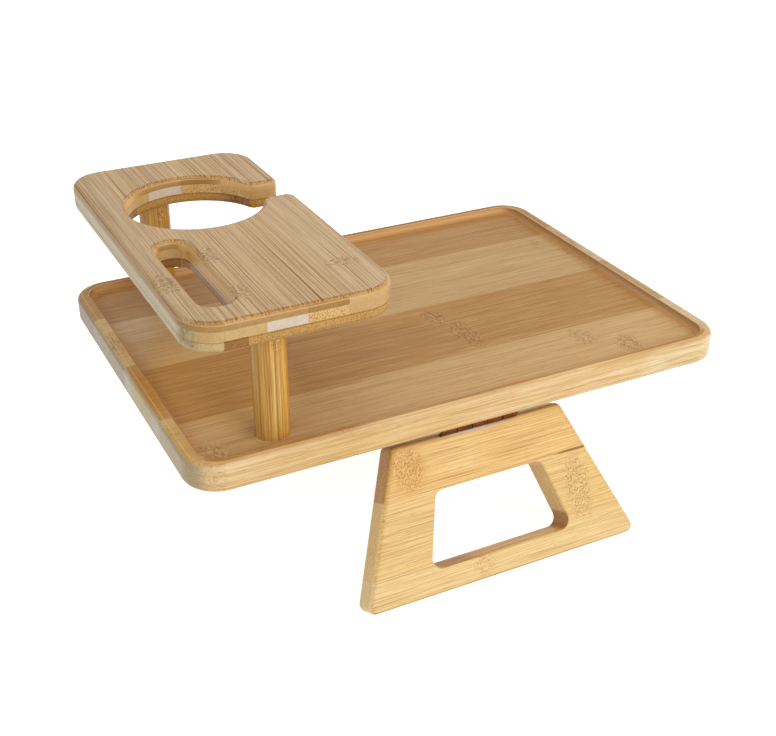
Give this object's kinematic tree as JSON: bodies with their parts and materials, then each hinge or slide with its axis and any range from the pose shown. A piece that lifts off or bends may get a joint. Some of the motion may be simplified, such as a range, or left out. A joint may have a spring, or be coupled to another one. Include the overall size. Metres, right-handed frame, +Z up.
{
  "type": "sofa arm tray",
  "caption": "Bamboo tray for a sofa arm with a routed recess, a raised keyhole cup and phone shelf on round posts, and hinged trapezoid legs that drape over the arm.",
  "frame": {"origin": "centre of the tray board's flat underside, which rests on the sofa arm", "axes": "+X along the tray's long edge away from the shelf, +Y towards the tray's back edge, +Z up out of the recess"},
  "size_m": [0.35, 0.3196, 0.1873],
  "materials": {
    "tray_bamboo": "satin varnish",
    "shelf_face_bamboo": "satin varnish",
    "shelf_core_bamboo": "satin varnish",
    "post_bamboo": "satin varnish",
    "leg_bamboo": "satin varnish",
    "dowel_wood": "plain",
    "hinge_bronze": "dark bronze plating, satin",
    "pin_steel": "plain",
    "screw_steel": "zinc plated"
  },
  "bodies": {
    "tray": {"tray_board": "tray_bamboo", "shelf_top_ply": "shelf_face_bamboo", "shelf_core_ply": "shelf_core_bamboo", "shelf_bottom_ply": "shelf_face_bamboo", "post_front": "post_bamboo", "post_back": "post_bamboo", "post_dowels": "dowel_wood", "post_screws": "screw_steel", "front_hinge_tray_leaf": "hinge_bronze", "front_hinge_pin": "pin_steel", "front_tray_leaf_screws": "screw_steel", "back_hinge_tray_leaf": "hinge_bronze", "back_hinge_pin": "pin_steel", "back_tray_leaf_screws": "screw_steel"},
    "leg_front": {"front_leg": "leg_bamboo", "front_hinge_leg_leaf": "hinge_bronze", "front_leg_leaf_screws": "screw_steel"},
    "leg_back": {"back_leg": "leg_bamboo", "back_hinge_leg_leaf": "hinge_bronze", "back_leg_leaf_screws": "screw_steel"}
  },
  "joints": [
    {"name": "front_leg_hinge", "type": "hinge", "parent": "tray", "child": "leg_front", "pos_m": [0, -0.1185, -0.0028], "axis": [-1, 0, 0], "range_deg": [-38, 92]},
    {"name": "back_leg_hinge", "type": "hinge", "parent": "tray", "child": "leg_back", "pos_m": [0, 0.1185, -0.0028], "axis": [1, 0, 0], "range_deg": [-38, 92]}
  ]
}
